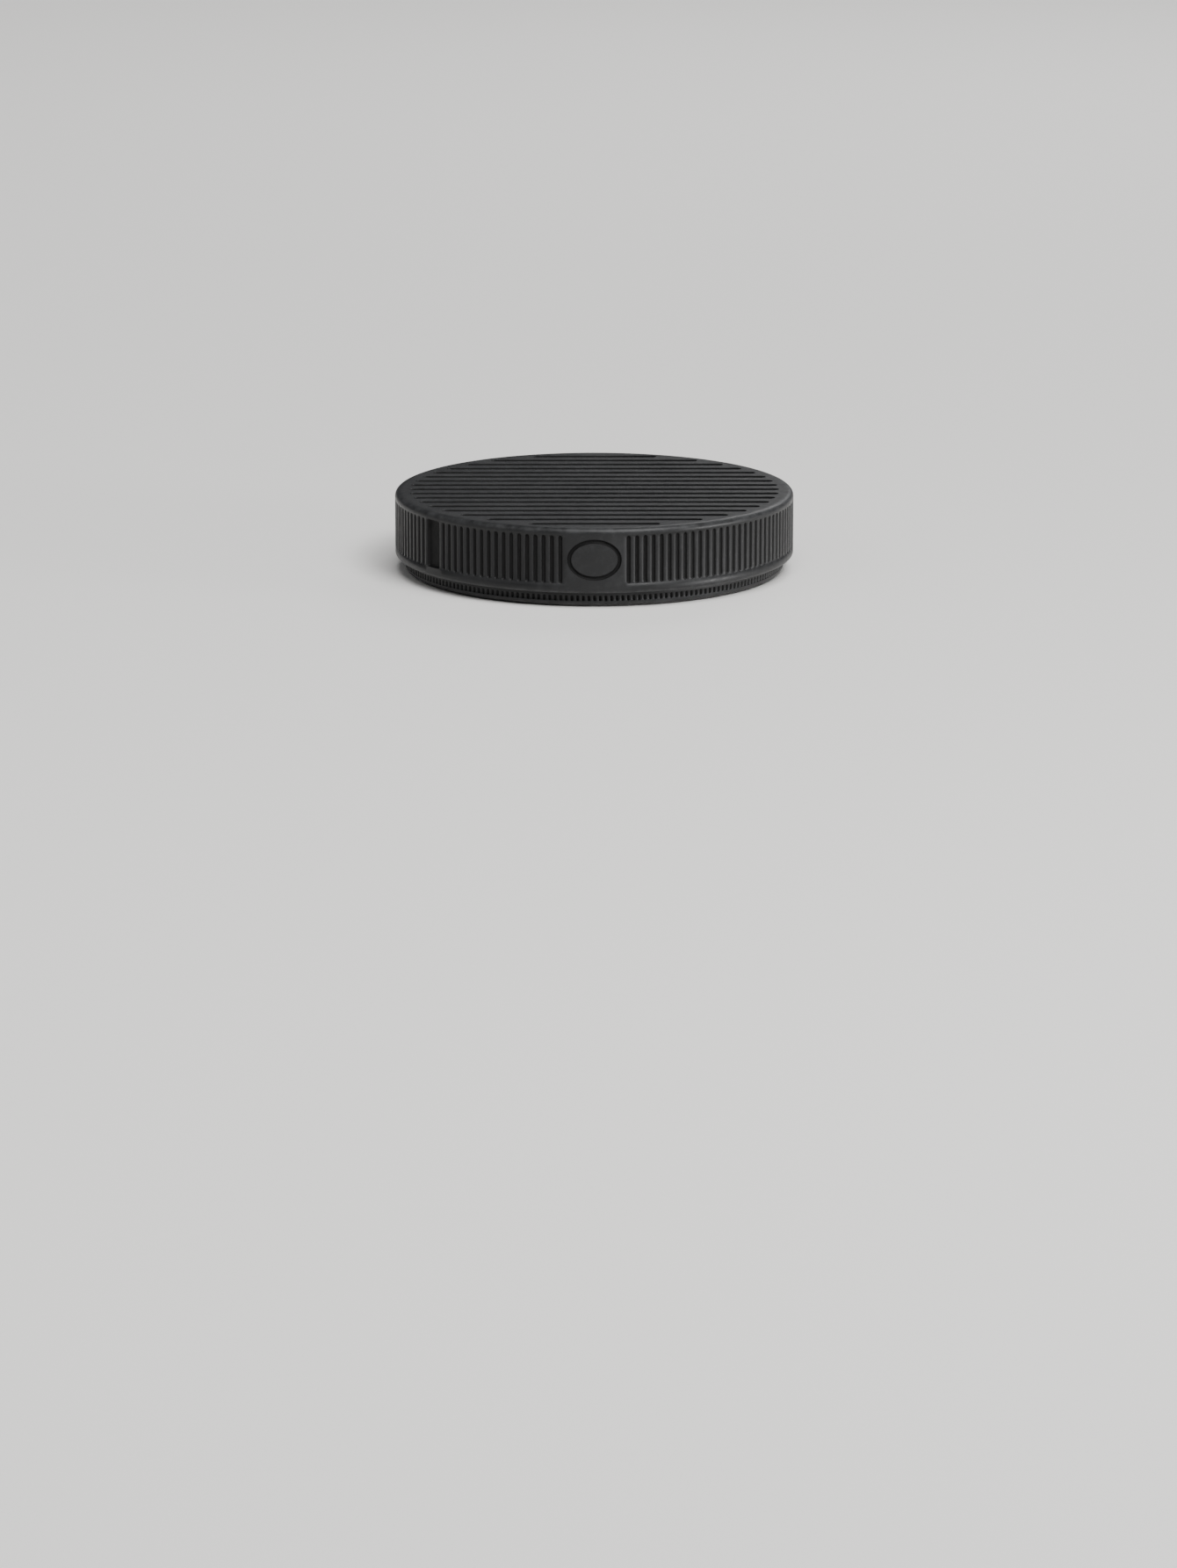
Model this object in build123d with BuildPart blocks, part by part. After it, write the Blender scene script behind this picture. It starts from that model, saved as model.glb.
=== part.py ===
from build123d import *

import os

# Off-ice hockey puck: a grip-edged cap over a narrower base, with a weighted rubber core between them.
# Millimetres. +Z is up, and the origin is on the ground, at the middle of the puck.
# The smooth badge panel on the cap's edge faces -Y.
# From the ground up: glide ring, base, bottom pad, core with its two weights, top pad, cap.

# Overall sizes
puck_diameter = 76.2  # over the cap
puck_height = 15.3  # from the ground to the cap's top face
foot_height = 3.0  # from the ground to the cap's lower edge

# Cap
cap_wall = 1.65  # skirt, from the bore to the outside
cap_top_wall = 2.0
shoulder_radius = 1.0  # round between the top face and the edge
lip_radius = 0.6  # round on the outside of the skirt's lower edge
lead_in = 0.4  # chamfer that guides the skirt over the neck
grip_depth = 0.35  # how far the grip band is sunk into the edge
grip_top_margin = 1.35  # smooth edge above the grip band
grip_low_margin = 1.8  # smooth edge below the grip band
panel_width = 11.2  # smooth panel left standing in the grip band, for a badge

# Base
neck_wall = 2.6
floor_wall = 2.7
foot_radius = 0.8  # round on the foot's lower edge
rim_chamfer = 0.7  # on the outside of the neck's rim
post_radius = 3.2  # centre post that the core drops over
post_below_rim = 0.6
post_chamfer = 0.5

# Glide ring, let into the base's underside
glide_inset = 3.3  # from the foot's outside to the ring's outside
glide_width = 4.0
glide_sunk = 1.5  # depth of the groove that holds it
glide_proud = 0.3  # how far it stands below the base
glide_round = 0.25

# Friction ring, in a groove round the neck
ring_section = 1.4
ring_below_rim = 3.5  # from the rim to the middle of the groove
ring_side_gap = 0.1  # each side, in its groove

# Core, weights and pads
core_wall = 11.25  # rubber round the weights
core_floor = 2.2  # rubber under the weights
core_chamfer = 0.6
weight_names = ("lower_weight", "upper_weight")
weight_chamfer = 0.3
pad_thickness = 1.0
notch_count = 4  # finger notches round the pocket, for lifting the weights out
notch_radius = 7.0
notch_depth = 2.0

# Clearances
slip_gap = 0.2  # cap over neck, on the radius
ring_bore_gap = 0.1  # friction ring to the cap's bore
ring_floor_gap = 0.05  # friction ring to the floor of its groove
seat_gap = 0.1  # top pad to the cap
core_gap = 0.3  # core and pads in the neck, on the radius
post_gap = 0.2  # post in the core, weights and pads, on the radius
weight_gap = 0.15  # weights in their pocket, on the radius
glide_gap = 0.05  # glide ring in its groove, on the radius

# Radii and heights worked out from the sizes above
cap_outside = puck_diameter / 2
cap_bore = cap_outside - cap_wall
neck_outside = cap_bore - slip_gap
neck_inside = neck_outside - neck_wall
core_outside = neck_inside - core_gap
pocket_radius = core_outside - core_wall
weight_radius = pocket_radius - weight_gap
post_hole = post_radius + post_gap
glide_outside = neck_outside - glide_inset
glide_inside = glide_outside - glide_width
ring_outside = cap_bore - ring_bore_gap
ring_groove_radius = ring_outside - ring_section - ring_floor_gap

rim_height = puck_height - cap_top_wall
floor_height = glide_proud + floor_wall
post_height = rim_height - post_below_rim
ring_height = rim_height - ring_below_rim
core_bottom = floor_height + pad_thickness
core_top = rim_height - seat_gap - pad_thickness
pocket_bottom = core_bottom + core_floor
weight_thickness = (core_top - pocket_bottom) / len(weight_names)
grip_bottom = foot_height + grip_low_margin
grip_height = puck_height - grip_top_margin - grip_bottom


def disc(height, outside):
    """A round face, looking up from the height given."""
    with BuildSketch(Plane.XY.offset(height)) as face:
        Circle(outside)
    return face.sketch


def ring(height, outside, inside):
    """A round face with a round hole, looking up from the height given."""
    with BuildSketch(Plane.XY.offset(height)) as face:
        Circle(outside)
        Circle(inside, mode=Mode.SUBTRACT)
    return face.sketch


# What is cut away round the cap's edge for the grip. The badge panel is left standing.
with BuildPart() as grip_band:
    extrude(ring(grip_bottom, puck_diameter, cap_outside - grip_depth), amount=grip_height)
    with BuildSketch(Plane.XZ):
        with Locations((0, grip_bottom + grip_height / 2)):
            Rectangle(panel_width, grip_height)
    extrude(amount=puck_diameter, mode=Mode.SUBTRACT)

with BuildPart() as cap_shell:
    extrude(disc(foot_height, cap_outside), amount=puck_height - foot_height)
    fillet(cap_shell.edges().group_by(Axis.Z)[-1], shoulder_radius)
    fillet(cap_shell.edges().group_by(Axis.Z)[0], lip_radius)
    extrude(disc(foot_height, cap_bore), amount=rim_height - foot_height, mode=Mode.SUBTRACT)
    bore_mouth = cap_shell.edges().group_by(Axis.Z)[0].sort_by(SortBy.RADIUS)[0]
    chamfer(bore_mouth, lead_in)
    add(grip_band.part, mode=Mode.SUBTRACT)
cap_shell.part.label = "cap_shell"

with BuildPart() as base_shell:
    extrude(disc(glide_proud, neck_outside), amount=rim_height - glide_proud)
    fillet(base_shell.edges().group_by(Axis.Z)[0], foot_radius)
    chamfer(base_shell.edges().group_by(Axis.Z)[-1], rim_chamfer)
    extrude(disc(floor_height, neck_inside), amount=rim_height - floor_height, mode=Mode.SUBTRACT)
    extrude(disc(floor_height, post_radius), amount=post_height - floor_height)
    post_top = base_shell.faces().filter_by_position(Axis.Z, post_height, post_height)
    chamfer(post_top.edges(), post_chamfer)
    ring_groove = ring(ring_height, puck_diameter, ring_groove_radius)
    extrude(ring_groove, amount=ring_section / 2 + ring_side_gap, both=True, mode=Mode.SUBTRACT)
    glide_groove = ring(glide_proud, glide_outside + glide_gap, glide_inside - glide_gap)
    extrude(glide_groove, amount=glide_sunk, mode=Mode.SUBTRACT)
base_shell.part.label = "base_shell"

with BuildPart() as glide_ring:
    extrude(ring(0, glide_outside, glide_inside), amount=glide_proud + glide_sunk)
    fillet(glide_ring.edges().group_by(Axis.Z)[0], glide_round)
glide_ring.part.label = "glide_ring"

with BuildPart() as friction_ring:
    with Locations((0, 0, ring_height)):
        Torus(ring_outside - ring_section / 2, ring_section / 2)
friction_ring.part.label = "friction_ring"

with BuildPart() as bottom_pad:
    extrude(ring(floor_height, core_outside, post_hole), amount=pad_thickness)
bottom_pad.part.label = "bottom_pad"

with BuildPart() as rubber_core:
    extrude(ring(core_bottom, core_outside, post_hole), amount=core_top - core_bottom)
    outer_edges = rubber_core.edges().filter_by(GeomType.CIRCLE).group_by(SortBy.RADIUS)[-1]
    chamfer(outer_edges, core_chamfer)
    extrude(disc(pocket_bottom, pocket_radius), amount=core_top - pocket_bottom, mode=Mode.SUBTRACT)
    with BuildSketch(Plane.XY.offset(core_top)):
        with PolarLocations(pocket_radius, notch_count):
            Circle(notch_radius)
    extrude(amount=-notch_depth, mode=Mode.SUBTRACT)
rubber_core.part.label = "rubber_core"

weights = []
for number, name in enumerate(weight_names):
    weight_bottom = pocket_bottom + number * weight_thickness
    with BuildPart() as weight:
        extrude(ring(weight_bottom, weight_radius, post_hole), amount=weight_thickness)
        outer_edges = weight.edges().filter_by(GeomType.CIRCLE).group_by(SortBy.RADIUS)[-1]
        chamfer(outer_edges, weight_chamfer)
    weight.part.label = name
    weights.append(weight)

with BuildPart() as top_pad:
    extrude(ring(core_top, core_outside, post_hole), amount=pad_thickness)
top_pad.part.label = "top_pad"

pieces = [glide_ring, base_shell, friction_ring, bottom_pad, rubber_core, *weights, top_pad, cap_shell]

os.makedirs("parts", exist_ok=True)
for piece in pieces:
    export_step(piece.part, f"parts/{piece.part.label}.step")
    print(piece.part.label, round(piece.part.volume, 1), "mm3")
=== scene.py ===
"""The looks of the off-ice hockey puck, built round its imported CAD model.

Metres, in the CAD model's frame: +Z is up, and the badge faces -Y.
Every piece is turned about +Z from a half-section. The node tree that does this also sinks round-ended
slots in the walls of the cap and the base. Then the cap gets the straight grooves in its top and the oval
line of its badge, and the core gets its finger notches.
"""

import math

import bmesh
import bpy
from mathutils import Matrix, Vector
from mathutils.geometry import delaunay_2d_cdt


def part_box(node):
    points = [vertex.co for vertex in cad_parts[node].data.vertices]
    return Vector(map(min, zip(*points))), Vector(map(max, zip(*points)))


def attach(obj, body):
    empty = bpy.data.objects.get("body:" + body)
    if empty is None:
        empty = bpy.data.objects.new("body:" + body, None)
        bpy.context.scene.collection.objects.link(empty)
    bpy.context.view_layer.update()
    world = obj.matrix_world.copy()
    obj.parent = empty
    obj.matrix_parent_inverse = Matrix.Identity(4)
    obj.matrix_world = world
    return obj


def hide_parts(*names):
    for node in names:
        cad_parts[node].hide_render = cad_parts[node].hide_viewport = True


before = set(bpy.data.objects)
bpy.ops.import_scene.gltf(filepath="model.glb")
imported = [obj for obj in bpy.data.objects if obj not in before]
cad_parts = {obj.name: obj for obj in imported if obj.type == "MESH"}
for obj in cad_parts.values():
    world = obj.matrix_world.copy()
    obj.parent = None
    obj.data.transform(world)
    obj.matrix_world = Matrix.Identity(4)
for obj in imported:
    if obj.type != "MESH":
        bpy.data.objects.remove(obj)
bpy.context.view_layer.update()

mm = 0.001

# ---------------------------------------------------------------- sizes read from the CAD model

cap_low, cap_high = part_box("cap_shell")
base_low, base_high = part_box("base_shell")
glide_low, glide_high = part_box("glide_ring")
ring_low, ring_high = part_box("friction_ring")
core_low, core_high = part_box("rubber_core")

cap_radius = cap_high.x
cap_top = cap_high.z
cap_edge = cap_low.z  # the skirt's lower edge
neck_radius = base_high.x
rim_height = base_high.z  # the neck's rim, which the cap's plate rests on
core_radius = core_high.x

# ---------------------------------------------------------------- sizes the boxes don't give

shoulder_round = 1.0 * mm
lip_round = 0.6 * mm
lead_in = 0.4 * mm
grip_bottom = cap_edge + 1.8 * mm
grip_top = cap_top - 1.35 * mm
grip_slots = 150
grip_slot_width = 0.9 * mm
grip_slot_depth = 0.4 * mm
wide_slot = 128  # counted from -Y towards +X: the slot at the middle of the cap's one wide slot
wide_slot_depth = 0.6 * mm
panel_width = 11.2 * mm  # the smooth panel for the badge

badge_width = 9.4 * mm
badge_height = 7.0 * mm
badge_line_width = 0.8 * mm
badge_line_depth = badge_line_width / 2

top_groove_pitch = 4.15 * mm
top_groove_count = 17
top_groove_width = 1.9 * mm
top_groove_floor = 1.7 * mm
top_groove_depth = 0.55 * mm
top_groove_reach = 35.4 * mm  # the circle that the grooves end on
top_face_radius = 36.5 * mm  # the middle of the flat top, which holds the grooves

foot_round = 0.8 * mm
foot_marks = 216
foot_mark_width = 0.66 * mm
foot_mark_length = 1.15 * mm
foot_mark_depth = 0.3 * mm
foot_mark_middle = 1.75 * mm

bore_gap = 0.1 * mm  # friction ring to the cap's bore
ring_section = 1.4 * mm
ring_side_gap = 0.1 * mm
core_gap = 0.3 * mm
rim_chamfer = 0.7 * mm
post_radius = 3.2 * mm
post_top = rim_height - 0.6 * mm
post_chamfer = 0.5 * mm
post_hole = 3.4 * mm
weight_gap = 0.15 * mm
weight_hair = 0.01 * mm  # how far each face of a weight stops short of its CAD solid's
glide_gap = 0.05 * mm
glide_width = 4.0 * mm
pad_thickness = 1.0 * mm
core_floor = 2.2 * mm
core_round = 0.6 * mm
notch_count = 4
notch_radius = 7.0 * mm
notch_depth = 2.0 * mm
notch_lip_round = 0.4 * mm
past_face = 1.0 * mm  # how far a cutter stands out of the face that it cuts

gate_dimple_radius = 2.6 * mm  # at the middle of the underside
gate_dimple_floor = 2.2 * mm
gate_dimple_depth = 0.3 * mm

hair_round = 0.1 * mm
fine_round = 0.15 * mm
small_round = 0.2 * mm
medium_round = 0.25 * mm
edge_round = 0.3 * mm
large_round = 0.5 * mm

cap_bore = ring_high.x + bore_gap
neck_inside = core_radius + core_gap
floor_height = core_low.z - pad_thickness
ring_height = (ring_low.z + ring_high.z) / 2
glide_inside = glide_high.x - glide_width
pocket_bottom = core_low.z + core_floor
pocket_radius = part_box("upper_weight")[1].x + weight_gap


# ---------------------------------------------------------------- half-sections

small_arc_steps = 3
large_arc_steps = 6  # on a round over large_round
slot_end_angles = (0, 20, 40, 60, 90)  # degrees round a slot's end, where its rows of points lie


def rounded(corners, closed=False):
    """Points of a half-section from its (radius, height, round) corners. Each round becomes an arc.

    A point's third number is its wear: 1 at the middle of an arc, and 0 away from arcs.
    """
    points = []
    count = len(corners)
    for i, (r, z, size) in enumerate(corners):
        if not size:
            points.append((r, z, 0))
            continue
        steps = large_arc_steps if size > large_round else small_arc_steps
        corner = Vector((r, z))
        before = Vector(corners[i - 1][:2]) - corner
        after = Vector(corners[(i + 1) % count][:2]) - corner
        before.normalize()
        after.normalize()
        half_angle = before.angle(after) / 2
        tangent = size / math.tan(half_angle)
        centre = corner + (before + after).normalized() * size / math.sin(half_angle)
        start = corner + before * tangent - centre
        end = corner + after * tangent - centre
        sweep = start.angle_signed(end)
        for step in range(steps + 1):
            turn = Matrix.Rotation(-sweep * step / steps, 2)
            points.append((*(centre + turn @ start), math.sin(math.pi * step / steps)))
    if closed:
        points.append(points[0])
    return points


def slot_rows(middle, length, width):
    """Heights at which a wall needs a row of points for its round-ended slots, from the bottom up."""
    straight = (length - width) / 2
    end = [straight + width / 2 * math.sin(math.radians(angle)) for angle in slot_end_angles]
    return sorted(middle + side * reach for side in (-1, 1) for reach in end)


def wall(radius, heights):
    """Points of a half-section up or down a straight wall."""
    return [(radius, height, 0) for height in heights]


# ---------------------------------------------------------------- node trees


class Tree:
    """Writes a node tree. An input takes a number or another node's socket."""

    def __init__(self, tree):
        self.tree = tree

    def put(self, socket, value):
        """Links another node's socket to this one, or sets its number."""
        if isinstance(value, bpy.types.NodeSocket):
            self.tree.links.new(value, socket)
        else:
            socket.default_value = value

    def add(self, kind, inputs=None, **settings):
        """A new node with its settings, and its inputs by name or number."""
        node = self.tree.nodes.new(kind)
        for name, value in settings.items():
            setattr(node, name, value)
        for key, value in (inputs or {}).items():
            self.put(node.inputs[key], value)
        return node

    def math(self, operation, *values):
        node = self.add("ShaderNodeMath", operation=operation)
        for socket, value in zip(node.inputs, values):
            self.put(socket, value)
        return node.outputs[0]

    def choose(self, share, first, second):
        """The first value where share is 0, and the second where it is 1."""
        node = self.add("ShaderNodeMix", {0: share}, data_type="FLOAT")
        self.put(node.inputs[2], first)
        self.put(node.inputs[3], second)
        return node.outputs[0]

    def input(self, name, kind, default=None):
        """Gives the tree a named input."""
        socket = self.tree.interface.new_socket(name=name, in_out="INPUT", socket_type=kind)
        if default is not None:
            socket.default_value = default

    def close(self, geometry, material):
        """Ends a geometry tree: real geometry, with its material."""
        self.tree.interface.new_socket(name="Geometry", in_out="OUTPUT", socket_type="NodeSocketGeometry")
        real = self.add("GeometryNodeRealizeInstances", {"Geometry": geometry})
        painted = self.add("GeometryNodeSetMaterial", {"Geometry": real.outputs[0], "Material": material})
        end = self.add("NodeGroupOutput")
        self.tree.links.new(painted.outputs[0], end.inputs[0])


def new_geometry_tree(name):
    return Tree(bpy.data.node_groups.new(name, "GeometryNodeTree"))


flank_share = 0.6  # how much of a slot's half width its flank takes
wall_slack = 0.001 * mm  # a point this near to the wall is on it
end_slack = 0.001  # a row this share of a half width past a slot's end is at its end
panel_slack = 0.01 * mm  # a slot this little inside the panel's edge stays
weld_distance = 0.002 * mm
wobble_scale = 900.0  # of the noise that makes a surface uneven


def turned_tree():
    """Turns a half-section about +Z and sinks a ring of round-ended slots in one of its walls.

    There are a few columns of points to a slot, from edge to edge. Round the slot's ends they close up on
    its middle. The slot numbered Wide Slot and its two neighbours are one wide slot, and a number well below
    zero gives none. Slots whose middle is over the panel, on the -Y side, are left out. The attribute "sunk"
    is 0 on the wall and 1 on a slot's floor, and "worn" comes from the half-section.
    """
    t = new_geometry_tree("turned_piece")
    t.input("Section", "NodeSocketGeometry")
    t.input("Slots", "NodeSocketInt", 60)
    t.input("Slot Columns", "NodeSocketInt", 8)
    t.input("Wide Slot", "NodeSocketInt", -9)
    sizes = ("Wall Radius", "Slot Width", "Slot Length", "Slot Depth", "Slot Middle", "Wide Depth")
    for name in (*sizes, "Panel Width", "Unevenness"):
        t.input(name, "NodeSocketFloat", 0.0)
    t.input("Material", "NodeSocketMaterial")
    given = t.add("NodeGroupInput").outputs

    # A grid with a row of points for each point of the half-section.
    rows = t.add("GeometryNodeAttributeDomainSize", {"Geometry": given["Section"]}).outputs["Point Count"]
    across = given["Slot Columns"]
    columns = t.math("MULTIPLY_ADD", given["Slots"], across, 1)
    grid = t.add("GeometryNodeMeshGrid", {"Vertices X": columns, "Vertices Y": rows})
    index = t.add("GeometryNodeInputIndex").outputs[0]
    column = t.math("FLOOR", t.math("DIVIDE", t.math("ADD", index, 0.5), rows))
    row = t.math("SUBTRACT", index, t.math("MULTIPLY", column, rows))
    own_place = t.add("GeometryNodeInputPosition").outputs[0]
    point = t.add(
        "GeometryNodeSampleIndex",
        {"Geometry": given["Section"], "Value": own_place, "Index": row},
        data_type="FLOAT_VECTOR",
    )
    place = t.add("ShaderNodeSeparateXYZ", {"Vector": point.outputs[0]}).outputs
    radius, height = place["X"], place["Z"]
    own_wear = t.add("GeometryNodeInputNamedAttribute", {"Name": "worn"}, data_type="FLOAT").outputs[0]
    worn = t.add(
        "GeometryNodeSampleIndex",
        {"Geometry": given["Section"], "Value": own_wear, "Index": row},
    )

    # The slot that a column is in, and how far across it: -1 and 1 are its edges.
    own_slot = t.math("FLOOR", t.math("DIVIDE", t.math("ADD", column, 0.5), across))
    from_wide = t.math("ABSOLUTE", t.math("SUBTRACT", own_slot, given["Wide Slot"]))
    wide = t.math("LESS_THAN", from_wide, 1.5)
    slot = t.choose(wide, own_slot, given["Wide Slot"])
    last = t.math("SUBTRACT", t.choose(wide, across, t.math("MULTIPLY", across, 3)), 1)
    first_column = t.math("MULTIPLY", t.math("SUBTRACT", slot, wide), across)
    share = t.math("DIVIDE", t.math("SUBTRACT", column, first_column), last)
    side = t.math("MULTIPLY_ADD", share, 2, -1)

    # How wide the slot is open at a row: 1 along its straight part, and 0 at its ends.
    half_width = t.math("DIVIDE", given["Slot Width"], 2)
    straight = t.math("SUBTRACT", t.math("DIVIDE", given["Slot Length"], 2), half_width)
    off_middle = t.math("ABSOLUTE", t.math("SUBTRACT", height, given["Slot Middle"]))
    past_straight = t.math("SUBTRACT", off_middle, straight)
    end_share = t.math("DIVIDE", t.math("MAXIMUM", past_straight, 0), half_width)
    off_wall = t.math("ABSOLUTE", t.math("SUBTRACT", radius, given["Wall Radius"]))
    on_wall = t.math("LESS_THAN", off_wall, wall_slack)
    in_rows = t.math("MULTIPLY", on_wall, t.math("LESS_THAN", end_share, 1 + end_slack))
    opening = t.math("SQRT", t.math("MAXIMUM", t.math("SUBTRACT", 1, t.math("POWER", end_share, 2)), 0))

    # A slot over the panel is left out.
    pitch_angle = t.math("DIVIDE", math.tau, given["Slots"])
    slot_angle = t.math("MULTIPLY", slot, pitch_angle)
    from_front = t.math("MULTIPLY", t.math("ABSOLUTE", t.math("SINE", slot_angle)), given["Wall Radius"])
    past_panel = t.math("SUBTRACT", from_front, t.math("DIVIDE", given["Panel Width"], 2))
    beside_panel = t.math("GREATER_THAN", past_panel, -panel_slack)
    behind = t.math("LESS_THAN", t.math("COSINE", slot_angle), 0)
    in_slot = t.math("MULTIPLY", in_rows, t.math("MAXIMUM", beside_panel, behind))

    # The column's angle about +Z.
    open_share = t.choose(in_slot, 1, opening)
    extra = t.math("MULTIPLY", wide, t.math("MULTIPLY", pitch_angle, given["Wall Radius"]))
    reach = t.math("MULTIPLY_ADD", half_width, open_share, extra)
    off_slot = t.math("DIVIDE", t.math("MULTIPLY", side, reach), given["Wall Radius"])
    angle = t.math("ADD", slot_angle, off_slot)

    # The flank goes down from the slot's edge in half a wave.
    from_edge = t.math("MULTIPLY", t.math("SUBTRACT", 1, t.math("ABSOLUTE", side)), reach)
    flank = t.math("MULTIPLY", half_width, flank_share)
    down_flank = t.math("MINIMUM", t.math("DIVIDE", from_edge, flank), 1)
    wave = t.math("COSINE", t.math("MULTIPLY", down_flank, math.pi))
    curve = t.math("SUBTRACT", 0.5, t.math("MULTIPLY", wave, 0.5))
    sunk = t.math("MULTIPLY", t.math("MULTIPLY", curve, opening), in_slot)
    depth = t.math("MULTIPLY", sunk, t.choose(wide, given["Slot Depth"], given["Wide Depth"]))
    out = t.math("SUBTRACT", radius, depth)
    turned = t.add(
        "ShaderNodeCombineXYZ",
        {
            "X": t.math("MULTIPLY", out, t.math("SINE", angle)),
            "Y": t.math("MULTIPLY", t.math("MULTIPLY", out, t.math("COSINE", angle)), -1),
            "Z": height,
        },
    )
    marked = grid.outputs["Mesh"]
    for name, value in (("sunk", sunk), ("worn", worn.outputs[0])):
        store = t.add("GeometryNodeStoreNamedAttribute", {"Geometry": marked, "Name": name, "Value": value})
        marked = store.outputs[0]
    shape = t.add("GeometryNodeSetPosition", {"Geometry": marked, "Position": turned.outputs[0]})
    welded = t.add("GeometryNodeMergeByDistance", {"Geometry": shape.outputs[0], "Distance": weld_distance})

    # An uneven surface sags a little, and never stands out.
    wobble = t.add("ShaderNodeTexNoise", {"Scale": wobble_scale, "Detail": 3.0}).outputs[0]
    sag = t.math("MULTIPLY", t.math("MULTIPLY", wobble, given["Unevenness"]), -1)
    normal = t.add("GeometryNodeInputNormal").outputs[0]
    inward = t.add("ShaderNodeVectorMath", {0: normal, "Scale": sag}, operation="SCALE")
    uneven = t.add("GeometryNodeSetPosition", {"Geometry": welded.outputs[0], "Offset": inward.outputs[0]})
    t.close(uneven.outputs[0], given["Material"])
    return t.tree


def oval_tree():
    """An oval of round section, bent round the cap's wall on the -Y side."""
    t = new_geometry_tree("bent_oval")
    for name in ("Wall Radius", "Width", "Height", "Middle", "Thickness"):
        t.input(name, "NodeSocketFloat", 0.0)
    t.input("Material", "NodeSocketMaterial")
    given = t.add("NodeGroupInput").outputs
    oval = t.add("GeometryNodeCurvePrimitiveCircle", {"Resolution": 96, "Radius": 1.0})
    at = t.add("ShaderNodeSeparateXYZ", {"Vector": t.add("GeometryNodeInputPosition").outputs[0]}).outputs
    along = t.math("MULTIPLY", at["X"], t.math("DIVIDE", given["Width"], 2))
    angle = t.math("DIVIDE", along, given["Wall Radius"])
    out_front = t.math("MULTIPLY", given["Wall Radius"], t.math("COSINE", angle))
    bent = t.add(
        "ShaderNodeCombineXYZ",
        {
            "X": t.math("MULTIPLY", given["Wall Radius"], t.math("SINE", angle)),
            "Y": t.math("MULTIPLY", out_front, -1),
            "Z": t.math("MULTIPLY_ADD", at["Y"], t.math("DIVIDE", given["Height"], 2), given["Middle"]),
        },
    )
    path = t.add("GeometryNodeSetPosition", {"Geometry": oval.outputs[0], "Position": bent.outputs[0]})
    section = t.add(
        "GeometryNodeCurvePrimitiveCircle",
        {"Resolution": 12, "Radius": t.math("DIVIDE", given["Thickness"], 2)},
    )
    tube = t.add("GeometryNodeCurveToMesh", {"Curve": path.outputs[0], "Profile Curve": section.outputs[0]})
    t.close(tube.outputs[0], given["Material"])
    return t.tree


def grown(name, tree, points=(), **values):
    """Runs a geometry tree on the points of a half-section, and returns its result as a plain mesh object.

    A point is (radius, height, wear). The other values are the tree's inputs, in lower case.
    """
    mesh = bpy.data.meshes.new(name)
    mesh.from_pydata([(p[0], 0, p[1]) for p in points], [(i, i + 1) for i in range(len(points) - 1)], [])
    mesh.attributes.new("worn", "FLOAT", "POINT").data.foreach_set("value", [p[2] for p in points])
    seed = bpy.data.objects.new(name + "_section", mesh)
    bpy.context.scene.collection.objects.link(seed)
    modifier = seed.modifiers.new("shape", "NODES")
    modifier.node_group = tree
    sockets = {item.name: item.identifier for item in tree.interface.items_tree if item.in_out == "INPUT"}
    for key, value in values.items():
        modifier[sockets[key.replace("_", " ").title()]] = value
    evaluated = seed.evaluated_get(bpy.context.evaluated_depsgraph_get())
    result = bpy.data.meshes.new_from_object(evaluated)
    bpy.data.objects.remove(seed)
    result.name = name
    piece = bpy.data.objects.new(name, result)
    bpy.context.scene.collection.objects.link(piece)
    return piece


def turn_outward(piece):
    shape = bmesh.new()
    shape.from_mesh(piece.data)
    bmesh.ops.recalc_face_normals(shape, faces=shape.faces)
    shape.to_mesh(piece.data)
    shape.free()


def cut(piece, cutter):
    """Takes the cutter's shape out of the piece, and removes the cutter."""
    turn_outward(piece)
    turn_outward(cutter)
    modifier = piece.modifiers.new("cut", "BOOLEAN")
    modifier.operation = "DIFFERENCE"
    modifier.solver = "EXACT"
    modifier.object = cutter
    evaluated = piece.evaluated_get(bpy.context.evaluated_depsgraph_get())
    result = bpy.data.meshes.new_from_object(evaluated)
    piece.modifiers.remove(modifier)
    piece.data = result
    bpy.data.objects.remove(cutter)


sharp_angle = 40  # degrees
shell_sharp_angle = 70  # on the cap and the base, so that their slots' flanks stay smooth


def finished(piece, body, node, sharp=sharp_angle):
    """Turns the faces outward, keeps edges over the given angle sharp, and hands the piece to its body."""
    turn_outward(piece)
    piece.data.shade_smooth()
    piece.data.set_sharp_from_angle(angle=math.radians(sharp))
    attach(piece, body)
    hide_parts(node)


# ---------------------------------------------------------------- materials


def new_material(name):
    material = bpy.data.materials.new(name)
    material.use_nodes = True
    t = Tree(material.node_tree)
    shader = material.node_tree.nodes["Principled BSDF"]
    t.place = t.add("ShaderNodeTexCoord").outputs["Object"]
    return material, t, shader


def noise(t, scale, detail=2.0, roughness=0.5, vector=None):
    node = t.add(
        "ShaderNodeTexNoise",
        {"Vector": vector or t.place, "Scale": scale, "Detail": detail, "Roughness": roughness},
    )
    return node.outputs["Fac"]


def ramp(t, value, low, high, to_low=0.0, to_high=1.0):
    """Maps low..high to to_low..to_high, and holds the ends."""
    node = t.add(
        "ShaderNodeMapRange",
        {"Value": value, "From Min": low, "From Max": high, "To Min": to_low, "To Max": to_high},
    )
    return node.outputs[0]


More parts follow.
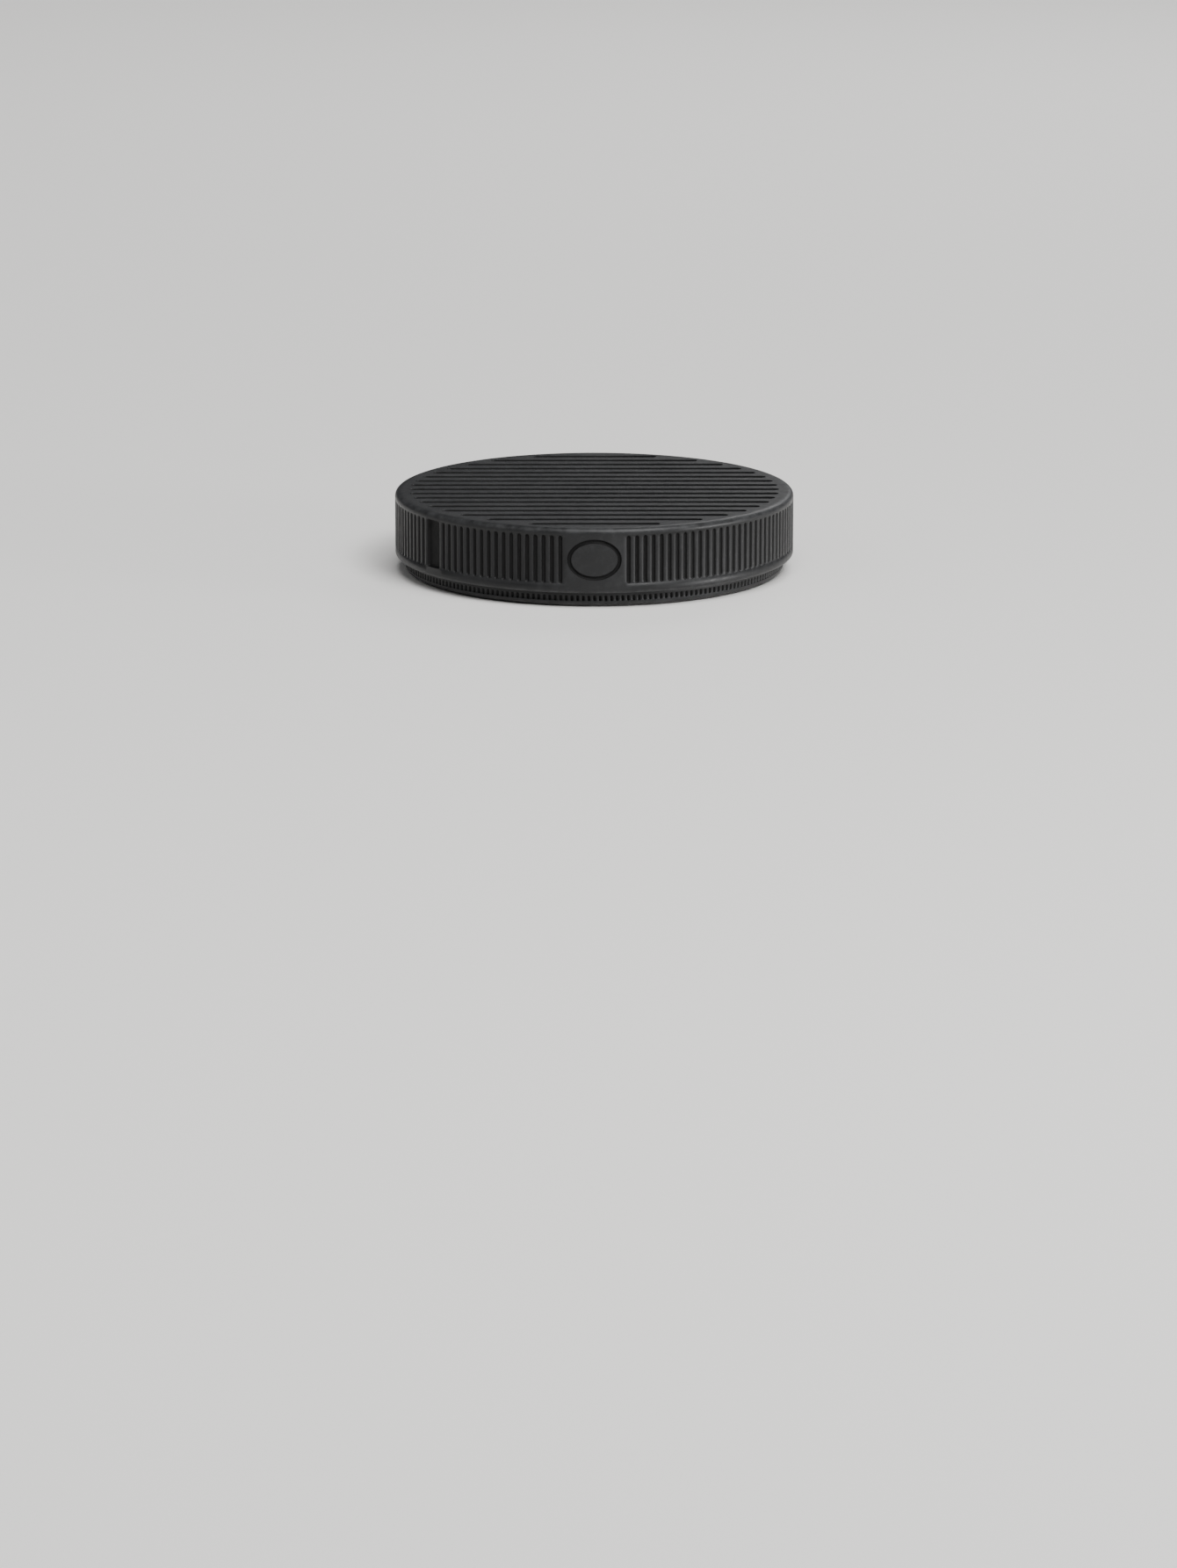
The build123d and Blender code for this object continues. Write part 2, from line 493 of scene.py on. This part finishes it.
def blend_colours(t, share, first, second):
    node = t.add("ShaderNodeMix", {"Factor": share}, data_type="RGBA")
    t.put(node.inputs[6], first if isinstance(first, bpy.types.NodeSocket) else (*first, 1))
    t.put(node.inputs[7], second if isinstance(second, bpy.types.NodeSocket) else (*second, 1))
    return node.outputs[2]


def bump(t, height, size, normal=None):
    """A bump whose height of 0 to 1 stands for the given size."""
    node = t.add("ShaderNodeBump", {"Height": height, "Distance": size})
    if normal is not None:
        t.put(node.inputs["Normal"], normal)
    return node.outputs[0]


def scratches(t, turn, density):
    """Thin straight marks, all running one way."""
    mapped = t.add(
        "ShaderNodeMapping",
        {"Vector": t.place, "Rotation": (0, 0, math.radians(turn)), "Scale": (90.0, 5200.0, 260.0)},
    )
    lines = noise(t, 1.0, 3.0, 0.6, mapped.outputs[0])
    patches = noise(t, 70.0 + turn, 1.0)
    return t.math("MULTIPLY", ramp(t, lines, 0.66, 0.72), ramp(t, patches, density, density + 0.12))


def turned_rings(t, scale, detail):
    """Fine rings about +Z."""
    place = t.add("ShaderNodeSeparateXYZ", {"Vector": t.place}).outputs
    radius = t.math("SQRT", t.math("ADD", t.math("POWER", place["X"], 2), t.math("POWER", place["Y"], 2)))
    rings = t.add(
        "ShaderNodeTexNoise",
        {"W": radius, "Scale": scale, "Detail": detail},
        noise_dimensions="1D",
    )
    return rings.outputs[0]


def moulded_black():
    """Hard black rubber. Its slots carry painted shade that darkens them to near black, and its lands have a
    fine grain, dust and worn edges.
    """
    material, t, shader = new_material("moulded_black")
    sunk = t.add("ShaderNodeAttribute", attribute_name="sunk").outputs["Fac"]
    land = t.math("SUBTRACT", 1, sunk)
    cloud = noise(t, 95.0, 4.0, 0.55)
    dust = noise(t, 520.0, 5.0, 0.65)
    grain = noise(t, 6500.0, 2.0)
    pebble = t.add("ShaderNodeTexVoronoi", {"Vector": t.place, "Scale": 3200.0}).outputs["Distance"]
    marks = t.math("MULTIPLY", t.math("MAXIMUM", scratches(t, 17, 0.52), scratches(t, 103, 0.56)), land)
    corner = t.add("ShaderNodeAttribute", attribute_name="worn").outputs["Fac"]
    slot_edge = t.math("MULTIPLY", ramp(t, sunk, 0.0, 0.08), ramp(t, sunk, 0.3, 0.1))
    rubbed = t.math("MAXIMUM", t.math("MULTIPLY", corner, 0.8), slot_edge)
    worn = t.math("MULTIPLY", rubbed, ramp(t, dust, 0.36, 0.6))

    colour = blend_colours(t, ramp(t, cloud, 0.35, 0.7), (0.0095, 0.0097, 0.0102), (0.0155, 0.0158, 0.0165))
    colour = blend_colours(t, ramp(t, dust, 0.52, 0.8, 0.0, 0.5), colour, (0.03, 0.0305, 0.0315))
    colour = blend_colours(t, t.math("MULTIPLY", worn, 0.5), colour, (0.06, 0.061, 0.063))
    colour = blend_colours(t, t.math("MULTIPLY", marks, 0.3), colour, (0.07, 0.071, 0.073))
    # Painted shade: the deeper a point lies in a slot, a top groove, a foot pit or the badge line, the
    # nearer its colour is to black, standing in for the shade in these recesses.
    colour = blend_colours(t, ramp(t, sunk, 0.03, 0.22), colour, (0.0018, 0.0018, 0.0019))
    t.put(shader.inputs["Base Color"], colour)
    rough = t.math("ADD", ramp(t, cloud, 0.3, 0.7, 0.36, 0.46), ramp(t, dust, 0.4, 0.75, 0.0, 0.12))
    t.put(shader.inputs["Roughness"], t.math("MULTIPLY_ADD", sunk, 0.25, rough))
    shader.inputs["Specular IOR Level"].default_value = 0.25
    surface = bump(t, grain, 0.008 * mm)
    surface = bump(t, pebble, 0.007 * mm, surface)
    t.put(shader.inputs["Normal"], bump(t, marks, -0.02 * mm, surface))
    return material


def core_black():
    """Dark grey moulded rubber with pale crumbs in it."""
    material, t, shader = new_material("core_rubber")
    cells = t.add("ShaderNodeTexVoronoi", {"Vector": t.place, "Scale": 900.0})
    some_cells = ramp(t, noise(t, 400.0), 0.5, 0.6)
    crumb = t.math("MULTIPLY", ramp(t, cells.outputs["Distance"], 0.32, 0.22), some_cells)
    cloud = noise(t, 140.0, 4.0)
    colour = blend_colours(t, cloud, (0.035, 0.035, 0.037), (0.06, 0.06, 0.062))
    t.put(shader.inputs["Base Color"], blend_colours(t, crumb, colour, (0.2, 0.2, 0.2)))
    t.put(shader.inputs["Roughness"], ramp(t, cloud, 0.3, 0.7, 0.68, 0.85))
    surface = bump(t, noise(t, 3500.0, 4.0, 0.6), 0.05 * mm)
    t.put(shader.inputs["Normal"], bump(t, crumb, 0.03 * mm, surface))
    return material


def ring_black():
    """Smooth oiled rubber."""
    material, t, shader = new_material("ring_rubber")
    smear = noise(t, 260.0, 3.0)
    colour = blend_colours(t, smear, (0.012, 0.012, 0.013), (0.022, 0.022, 0.023))
    t.put(shader.inputs["Base Color"], colour)
    t.put(shader.inputs["Roughness"], ramp(t, smear, 0.3, 0.7, 0.2, 0.38))
    t.put(shader.inputs["Normal"], bump(t, noise(t, 5000.0), 0.003 * mm))
    return material


def glide_white():
    """Milky slippery plastic, scuffed in arcs where it slides."""
    material, t, shader = new_material("glide_plastic")
    rings = turned_rings(t, 5200.0, 3.0)
    patches = noise(t, 120.0, 3.0)
    scuffs = t.math("MULTIPLY", ramp(t, rings, 0.55, 0.75), ramp(t, patches, 0.4, 0.65))
    marks = t.math("MAXIMUM", scratches(t, 41, 0.5), scratches(t, 128, 0.5))
    colour = blend_colours(t, ramp(t, patches, 0.3, 0.7), (0.69, 0.69, 0.66), (0.6, 0.6, 0.56))
    colour = blend_colours(t, t.math("MULTIPLY", scuffs, 0.5), colour, (0.42, 0.42, 0.4))
    colour = blend_colours(t, t.math("MULTIPLY", marks, 0.5), colour, (0.3, 0.3, 0.29))
    t.put(shader.inputs["Base Color"], colour)
    t.put(shader.inputs["Roughness"], ramp(t, patches, 0.3, 0.7, 0.3, 0.45))
    shader.inputs["Subsurface Weight"].default_value = 0.15
    shader.inputs["Subsurface Scale"].default_value = 1.0 * mm
    surface = bump(t, rings, 0.008 * mm)
    t.put(shader.inputs["Normal"], bump(t, marks, -0.02 * mm, surface))
    return material


def plated_steel():
    """Zinc-plated steel, turned on its face, with a cloudy sheen."""
    material, t, shader = new_material("plated_steel")
    rings = turned_rings(t, 4200.0, 4.0)
    cloud = noise(t, 160.0, 4.0)
    spangle = t.add("ShaderNodeTexVoronoi", {"Vector": t.place, "Scale": 420.0}).outputs["Color"]
    tone = t.add("ShaderNodeSeparateColor", {"Color": spangle}).outputs[0]
    colour = blend_colours(t, cloud, (0.54, 0.55, 0.57), (0.66, 0.67, 0.68))
    colour = blend_colours(t, t.math("MULTIPLY", tone, 0.25), colour, (0.42, 0.44, 0.47))
    t.put(shader.inputs["Base Color"], colour)
    shader.inputs["Metallic"].default_value = 1.0
    rough = ramp(t, cloud, 0.3, 0.7, 0.24, 0.36)
    t.put(shader.inputs["Roughness"], t.math("ADD", rough, t.math("MULTIPLY", tone, 0.06)))
    t.put(shader.inputs["Normal"], bump(t, rings, 0.012 * mm))
    return material


def grey_felt():
    """Pressed wool felt: tangled fibres, mottled greys and a soft sheen."""
    material, t, shader = new_material("grey_felt")
    fibres = None
    for turn, scale in ((12, 1.0), (58, 1.3), (101, 0.9), (147, 1.2)):
        stretch = (700.0 * scale, 5200.0 * scale, 2600.0)
        mapped = t.add(
            "ShaderNodeMapping",
            {"Vector": t.place, "Rotation": (0, 0, math.radians(turn)), "Scale": stretch},
        )
        strand = noise(t, 1.0, 2.0, 0.5, mapped.outputs[0])
        fibres = strand if fibres is None else t.math("MAXIMUM", fibres, strand)
    mottle = noise(t, 700.0, 5.0, 0.7)
    colour = blend_colours(t, ramp(t, fibres, 0.5, 0.8), (0.115, 0.115, 0.12), (0.3, 0.3, 0.31))
    colour = blend_colours(t, ramp(t, mottle, 0.4, 0.7, 0.0, 0.45), colour, (0.4, 0.4, 0.4))
    t.put(shader.inputs["Base Color"], colour)
    shader.inputs["Roughness"].default_value = 0.95
    shader.inputs["Sheen Weight"].default_value = 0.35
    shader.inputs["Specular IOR Level"].default_value = 0.2
    surface = bump(t, fibres, 0.12 * mm)
    t.put(shader.inputs["Normal"], bump(t, mottle, 0.08 * mm, surface))
    return material


def studio_floor():
    """Plain pale paper."""
    material, t, shader = new_material("studio_floor")
    colour = blend_colours(t, noise(t, 3.0), (0.8, 0.79, 0.77), (0.82, 0.81, 0.79))
    t.put(shader.inputs["Base Color"], colour)
    shader.inputs["Roughness"].default_value = 0.9
    shader.inputs["Specular IOR Level"].default_value = 0.1
    return material


black = moulded_black()
core_rubber = core_black()
ring_rubber = ring_black()
glide_plastic = glide_white()
steel = plated_steel()
felt = grey_felt()

turned = turned_tree()
plain_slots = 30  # a piece without slots is turned as if it had this many, of no depth
plain_slot_columns = 8


def plain_turned(name, points, material, radius, **values):
    """A turned piece without slots: its columns are spread evenly."""
    even_width = (plain_slot_columns - 1) / plain_slot_columns * math.tau * radius / plain_slots
    return grown(
        name, turned, points,
        slots=plain_slots, slot_columns=plain_slot_columns, slot_width=even_width,
        wall_radius=radius, material=material, **values,
    )


# ---------------------------------------------------------------- cap

groove_arc_steps = 6
groove_flank_steps = 4
groove_land_share = -0.3  # the loop on the land stands this share of the flank's width outside the groove
same_point = 1e-9  # metres


def cut_top_grooves(cap):
    """Closes the cap's open top with a flat face that has straight grooves sunk in it.

    Each groove is a stack of loops. The first is on the land round it and keeps the land's shading flat.
    The rest go from the groove's edge down its flank to its floor.
    """
    shape = bmesh.new()
    shape.from_mesh(cap.data)
    shape.verts.ensure_lookup_table()
    edge = [v for v in shape.verts if v.is_boundary]
    skin = edge[0].link_faces[0].material_index
    sunk = shape.verts.layers.float["sunk"]
    edge.sort(key=lambda v: math.atan2(v.co.y, v.co.x))
    flat = [v.co.to_2d() for v in edge]
    share_sunk = [0] * len(flat)
    loops = [list(range(len(flat)))]
    shares = [step / groove_flank_steps for step in range(groove_flank_steps + 1)]
    for line in range(top_groove_count):
        y = (line - (top_groove_count - 1) / 2) * top_groove_pitch
        half = math.sqrt(top_groove_reach ** 2 - y ** 2) - top_groove_width / 2
        for share in (groove_land_share, *shares):
            width = top_groove_width + (top_groove_floor - top_groove_width) * share
            loop = []
            for end in (1, -1):
                for step in range(groove_arc_steps + 1):
                    angle = math.pi * (step / groove_arc_steps - 0.5)
                    along = Vector((math.cos(angle), math.sin(angle))) * end * width / 2
                    loop.append(len(flat))
                    flat.append(Vector((end * half, y)) + along)
                    share_sunk.append(0.5 - 0.5 * math.cos(math.pi * max(share, 0)))
            loops.append(loop)

    # The cap's own points stay where a triangle meets its edge. The rest are new.
    edges = [(a, b) for loop in loops for a, b in zip(loop, loop[1:] + loop[:1])]
    verts, _, faces, origins, _, _ = delaunay_2d_cdt(flat, edges, [], 0, same_point)
    made = []
    for place, origin in zip(verts, origins):
        if origin and origin[0] < len(edge):
            made.append(edge[origin[0]])
        else:
            depth = share_sunk[origin[0]]
            made.append(shape.verts.new((*place, cap_top - depth * top_groove_depth)))
            made[-1][sunk] = depth
    for face in faces:
        shape.faces.new([made[i] for i in face]).material_index = skin
    shape.to_mesh(cap.data)
    shape.free()


badge_reach = 0.6 * badge_height  # how far over and under the badge's middle its line is looked for
skin_depth = 0.02 * mm  # what lies deeper than this is in the line


def cut_badge_line(cap):
    """Sinks a plain oval line in the badge panel, and marks it as sunk, so that the material paints it near
    black as painted shade.
    """
    oval = grown(
        "badge_line", oval_tree(),
        wall_radius=cap_radius, width=badge_width, height=badge_height,
        middle=grip_middle, thickness=badge_line_width, material=black,
    )
    cut(cap, oval)
    shape = bmesh.new()
    shape.from_mesh(cap.data)
    sunk = shape.verts.layers.float["sunk"]
    for vert in shape.verts:
        depth = cap_radius - vert.co.xy.length
        on_badge = abs(vert.co.x) < panel_width / 2 and abs(vert.co.z - grip_middle) < badge_reach
        if vert.co.y < 0 and on_badge and skin_depth < depth < badge_line_width:
            vert[sunk] = min(1, depth / (badge_line_depth / 2))
    shape.to_mesh(cap.data)
    shape.free()


grip_length = grip_top - grip_bottom
grip_middle = (grip_top + grip_bottom) / 2
cap_section = rounded(
    [
        (top_face_radius, cap_top, 0),
        (cap_radius, cap_top, shoulder_round),
        *wall(cap_radius, reversed(slot_rows(grip_middle, grip_length, grip_slot_width))),
        (cap_radius, cap_edge, lip_round),
        (cap_bore + lead_in, cap_edge, 0),
        (cap_bore, cap_edge + lead_in, 0),
        (cap_bore, rim_height, edge_round),
        (0, rim_height, 0),
    ]
)
cap = grown(
    "cap", turned, cap_section,
    slots=grip_slots, wall_radius=cap_radius, slot_width=grip_slot_width, slot_length=grip_length,
    slot_depth=grip_slot_depth, slot_middle=grip_middle, wide_slot=wide_slot, wide_depth=wide_slot_depth,
    panel_width=panel_width, material=black,
)
cut_top_grooves(cap)
cut_badge_line(cap)
finished(cap, "cap", "cap_shell", sharp=shell_sharp_angle)


# ---------------------------------------------------------------- base

ring_groove_low = ring_low.z - ring_side_gap
ring_groove_high = ring_high.z + ring_side_gap
ring_groove_radius = ring_high.x - ring_section - glide_gap
base_section = rounded(
    [
        (0, base_low.z + gate_dimple_depth, 0),
        (gate_dimple_floor, base_low.z + gate_dimple_depth, hair_round),
        (gate_dimple_radius, base_low.z, small_round),
        (glide_inside - glide_gap, base_low.z, fine_round),
        (glide_inside - glide_gap, glide_high.z, 0),
        (glide_high.x + glide_gap, glide_high.z, 0),
        (glide_high.x + glide_gap, base_low.z, fine_round),
        (neck_radius, base_low.z, foot_round),
        *wall(neck_radius, slot_rows(foot_mark_middle, foot_mark_length, foot_mark_width)),
        (neck_radius, ring_groove_low, hair_round),
        (ring_groove_radius, ring_groove_low, fine_round),
        (ring_groove_radius, ring_groove_high, fine_round),
        (neck_radius, ring_groove_high, hair_round),
        (neck_radius, rim_height - rim_chamfer, edge_round),
        (neck_radius - rim_chamfer, rim_height, edge_round),
        (neck_inside, rim_height, edge_round),
        (neck_inside, floor_height, medium_round),
        (post_radius, floor_height, fine_round),
        (post_radius, post_top - post_chamfer, small_round),
        (post_radius - post_chamfer, post_top, small_round),
        (0, post_top, 0),
    ]
)
base = grown(
    "base", turned, base_section,
    slots=foot_marks, wall_radius=neck_radius, slot_width=foot_mark_width, slot_length=foot_mark_length,
    slot_depth=foot_mark_depth, slot_middle=foot_mark_middle, slot_columns=5, material=black,
)
finished(base, "base", "base_shell", sharp=shell_sharp_angle)

glide_section = rounded(
    [
        (glide_inside, glide_low.z, medium_round),
        (glide_high.x, glide_low.z, medium_round),
        (glide_high.x, glide_high.z, hair_round),
        (glide_inside, glide_high.z, hair_round),
    ],
    closed=True,
)
glide = plain_turned("glide", glide_section, glide_plastic, glide_high.x)
finished(glide, "base", "glide_ring")

ring_middle = ring_high.x - ring_section / 2
ring_steps = 24
ring_turns = [math.tau * step / ring_steps for step in range(ring_steps + 1)]
ring_circle = [
    (ring_middle + math.cos(turn) * ring_section / 2, ring_height + math.sin(turn) * ring_section / 2, 0)
    for turn in ring_turns
]
friction = plain_turned("friction", ring_circle, ring_rubber, ring_high.x)
finished(friction, "base", "friction_ring")

# ---------------------------------------------------------------- core, weights and pads

core_section = rounded(
    [
        (post_hole, core_low.z, small_round),
        (core_radius, core_low.z, core_round),
        (core_radius, core_high.z, core_round),
        (pocket_radius, core_high.z, edge_round),
        (pocket_radius, pocket_bottom, edge_round),
        (post_hole, pocket_bottom, small_round),
    ],
    closed=True,
)
core = plain_turned("core", core_section, core_rubber, core_radius)

notch_floor = core_high.z - notch_depth
notch_section = rounded(
    [
        (0, notch_floor, 0),
        (notch_radius, notch_floor, large_round),
        (notch_radius, core_high.z, notch_lip_round),
        (notch_radius + past_face, core_high.z, 0),
        (notch_radius + past_face, core_high.z + past_face, 0),
        (0, core_high.z + past_face, 0),
    ]
)
for number in range(notch_count):
    notch = plain_turned("notch", notch_section, core_rubber, notch_radius)
    turn = math.tau * number / notch_count
    notch.data.transform(Matrix.Translation(Vector((math.cos(turn), math.sin(turn), 0)) * pocket_radius))
    cut(core, notch)
finished(core, "core", "rubber_core")

score_half_width = 0.3 * mm
score_depth = 0.15 * mm
score_round = 0.05 * mm


def weight(name):
    """A turned steel disc, a hair thinner than its CAD solid, with a fine ring scored in its top."""
    low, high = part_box(name)
    low.z += weight_hair
    high.z -= weight_hair
    score = (post_hole + high.x) / 2
    points = rounded(
        [
            (post_hole, low.z, edge_round),
            (high.x, low.z, edge_round),
            (high.x, high.z, edge_round),
            (score + score_half_width, high.z, score_round),
            (score, high.z - score_depth, score_round),
            (score - score_half_width, high.z, score_round),
            (post_hole, high.z, edge_round),
        ],
        closed=True,
    )
    piece = plain_turned(name + "_disc", points, steel, high.x)
    finished(piece, name, name)


for name in ("lower_weight", "upper_weight"):
    weight(name)

pad_rows = 30  # rings of points over a felt face
pad_rim = 0.5 * mm  # kept clear of them along its edges
pad_unevenness = 0.08 * mm


def pad(name):
    """A felt washer, a little uneven, with soft edges."""
    low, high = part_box(name)
    inner = post_hole + pad_rim
    outer = high.x - pad_rim
    radii = [inner + (outer - inner) * row / pad_rows for row in range(1, pad_rows)]
    points = rounded(
        [
            (post_hole, low.z, edge_round),
            *[(radius, low.z, 0) for radius in radii],
            (high.x, low.z, edge_round),
            (high.x, high.z, edge_round),
            *[(radius, high.z, 0) for radius in reversed(radii)],
            (post_hole, high.z, edge_round),
        ],
        closed=True,
    )
    piece = plain_turned(name + "_felt", points, felt, high.x, unevenness=pad_unevenness)
    finished(piece, name, name)


for name in ("bottom_pad", "top_pad"):
    pad(name)

# ---------------------------------------------------------------- studio

floor_half = 60.0  # metres, so that its edge stays near the horizon
floor_corners = [(x * floor_half, y * floor_half, 0) for x, y in ((-1, -1), (1, -1), (1, 1), (-1, 1))]
floor_mesh = bpy.data.meshes.new("floor")
floor_mesh.from_pydata(floor_corners, [], [(0, 1, 2, 3)])
floor_mesh.materials.append(studio_floor())
floor = bpy.data.objects.new("floor", floor_mesh)
bpy.context.scene.collection.objects.link(floor)


def softbox(name, azimuth, elevation, distance, size, power):
    """A flat soft light that faces the puck. Azimuth 0 is on the -Y side, and 90 on the +X side.

    Angles are in degrees, the distance and the size in metres, and the power in watts.
    """
    light = bpy.data.lights.new(name, "AREA")
    light.shape = "RECTANGLE"
    light.size, light.size_y = size
    light.energy = power
    lamp = bpy.data.objects.new(name, light)
    a, e = math.radians(azimuth), math.radians(elevation)
    lamp.location = Vector((math.sin(a) * math.cos(e), -math.cos(a) * math.cos(e), math.sin(e))) * distance
    lamp.rotation_mode = "QUATERNION"
    lamp.rotation_quaternion = (-lamp.location).to_track_quat("-Z", "Y")
    bpy.context.scene.collection.objects.link(lamp)


softbox("key_light", 30, 45, 0.9, (0.34, 0.3), 4.5)
softbox("edge_light", 70, 4.5, 0.8, (0.22, 0.1), 4.5)
softbox("fill_light", -60, 35, 1.1, (0.7, 0.7), 1.3)
softbox("back_light", 160, 33, 1.0, (0.5, 0.35), 2.2)

ceiling_light = bpy.data.lights.new("ceiling_light", "SUN")
ceiling_light.energy = 2.9
ceiling_light.angle = math.radians(50)
ceiling = bpy.data.objects.new("ceiling_light", ceiling_light)
ceiling.rotation_euler = (math.radians(28), 0, math.radians(22))
bpy.context.scene.collection.objects.link(ceiling)

world = bpy.data.worlds.new("studio")
world.use_nodes = True
background = world.node_tree.nodes["Background"]
background.inputs["Color"].default_value = (0.93, 0.95, 1.0, 1)
background.inputs["Strength"].default_value = 0.1
bpy.context.scene.world = world

# ---------------------------------------------------------------- camera

camera_distance = 1.2
camera_elevation = math.radians(11.5)
frame_height = 300.6 * mm  # what the render's long side covers at the puck
puck_above_middle = 49.0 * mm  # how far over the render's middle the puck stands
puck_right_of_middle = 1.1 * mm

camera_data = bpy.data.cameras.new("camera")
camera_data.sensor_width = 36.0
camera_data.lens = camera_data.sensor_width * camera_distance / frame_height
camera_data.clip_start = 0.01
camera_data.clip_end = 100.0
camera = bpy.data.objects.new("camera", camera_data)
puck_middle = Vector((0, 0, (cap_top + glide_low.z) / 2))
away = Vector((0, -math.cos(camera_elevation), math.sin(camera_elevation)))
camera.location = puck_middle + away * camera_distance - Vector((puck_right_of_middle, 0, 0))
camera_tilt = math.atan(puck_above_middle / camera_distance)
camera.rotation_euler = (math.pi / 2 - camera_elevation - camera_tilt, 0, 0)
bpy.context.scene.collection.objects.link(camera)
bpy.context.scene.camera = camera
